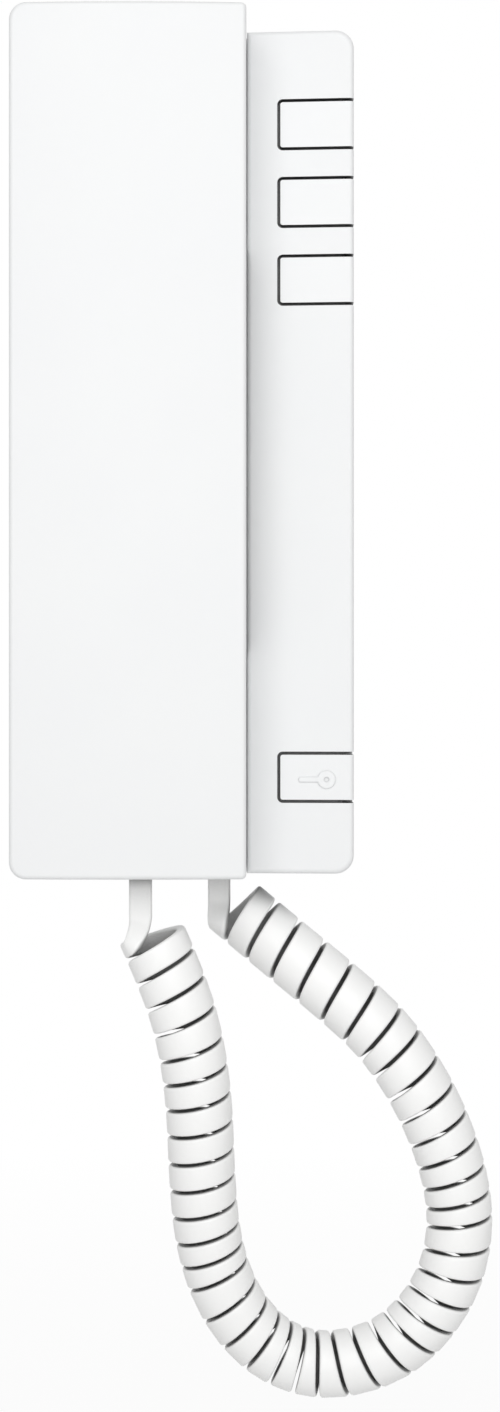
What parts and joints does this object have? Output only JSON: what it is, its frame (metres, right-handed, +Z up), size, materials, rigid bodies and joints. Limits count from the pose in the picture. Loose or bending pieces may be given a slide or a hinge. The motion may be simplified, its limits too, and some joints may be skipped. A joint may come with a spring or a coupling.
{
  "type": "audio intercom handset",
  "caption": "Wall-mounted audio intercom: a base with a cradle and a sloping strip of push buttons, a lift-off handset with an arched grip, and a curly cord between them.",
  "frame": {"origin": "middle of the wall screws, on the back of the wall plate", "axes": "+X to the right as the object is used, +Y into the wall, +Z up"},
  "size_m": [0.1203, 0.049, 0.3474],
  "materials": {
    "housing_white": "fine satin moulding",
    "plate_white": "matte moulding",
    "button_white": "satin moulding",
    "cord_white": "soft satin PVC",
    "plug_clear": "clear polycarbonate",
    "board_green": "solder mask",
    "part_black": "matte",
    "terminal_green": "matte",
    "screw_steel": "zinc plated",
    "capsule_metal": "drawn can",
    "soft_black": "foam and rubber",
    "lever_white": "acetal"
  },
  "bodies": {
    "base": {"back_plate": "plate_white", "base_cover": "housing_white", "cover_screw": "screw_steel", "circuit_board": "board_green", "board_screws": "screw_steel", "terminal_block": "terminal_green", "terminal_screws": "screw_steel", "board_capacitors": "part_black", "buzzer": "part_black", "switch_bodies": "part_black", "hook_switch": "part_black", "hook_spring": "screw_steel", "hook_pivot_pin": "screw_steel", "base_jack": "part_black", "cord_plug_base": "plug_clear", "cord_lead_base": "cord_white", "cord_curls": "cord_white", "cord_lead_handset": "cord_white"},
    "handset": {"handset_front": "housing_white", "handset_back": "housing_white", "handset_screws": "screw_steel", "receiver_gasket": "soft_black", "receiver_capsule": "capsule_metal", "microphone_boot": "soft_black", "microphone_capsule": "capsule_metal", "handset_jack": "part_black", "cord_plug_handset": "plug_clear"},
    "hook": {"hook_lever": "lever_white"},
    "call_button_1_body": {"call_button_1": "button_white", "switch_plunger_1": "lever_white"},
    "call_button_2_body": {"call_button_2": "button_white", "switch_plunger_2": "lever_white"},
    "call_button_3_body": {"call_button_3": "button_white", "switch_plunger_3": "lever_white"},
    "door_button_body": {"door_button": "button_white", "door_switch_plunger": "lever_white"}
  },
  "joints": [
    {"name": "handset_lift", "type": "slide", "parent": "base", "child": "handset", "axis": [0, -0.7071, 0.7071], "range_m": [0, 0.06]},
    {"name": "hook_lever_swing", "type": "hinge", "parent": "base", "child": "hook", "pos_m": [0.0082, -0.014, -0.07985], "axis": [1, 0, 0], "range_deg": [0, 8]},
    {"name": "call_button_1_press", "type": "slide", "parent": "base", "child": "call_button_1_body", "axis": [0, 1, 0], "range_m": [0, 0.0008], "stiffness_N_per_m": 2000, "springref_m": -0.0004},
    {"name": "call_button_2_press", "type": "slide", "parent": "base", "child": "call_button_2_body", "axis": [0, 1, 0], "range_m": [0, 0.0008], "stiffness_N_per_m": 2000, "springref_m": -0.0004},
    {"name": "call_button_3_press", "type": "slide", "parent": "base", "child": "call_button_3_body", "axis": [0, 1, 0], "range_m": [0, 0.0008], "stiffness_N_per_m": 2000, "springref_m": -0.0004},
    {"name": "door_button_press", "type": "slide", "parent": "base", "child": "door_button_body", "axis": [0, 1, 0], "range_m": [0, 0.0008], "stiffness_N_per_m": 2000, "springref_m": -0.0004}
  ],
  "couplings": [
    {"joint": "hook_lever_swing", "follows": "handset_lift", "rad_per_m": 2.32}
  ]
}
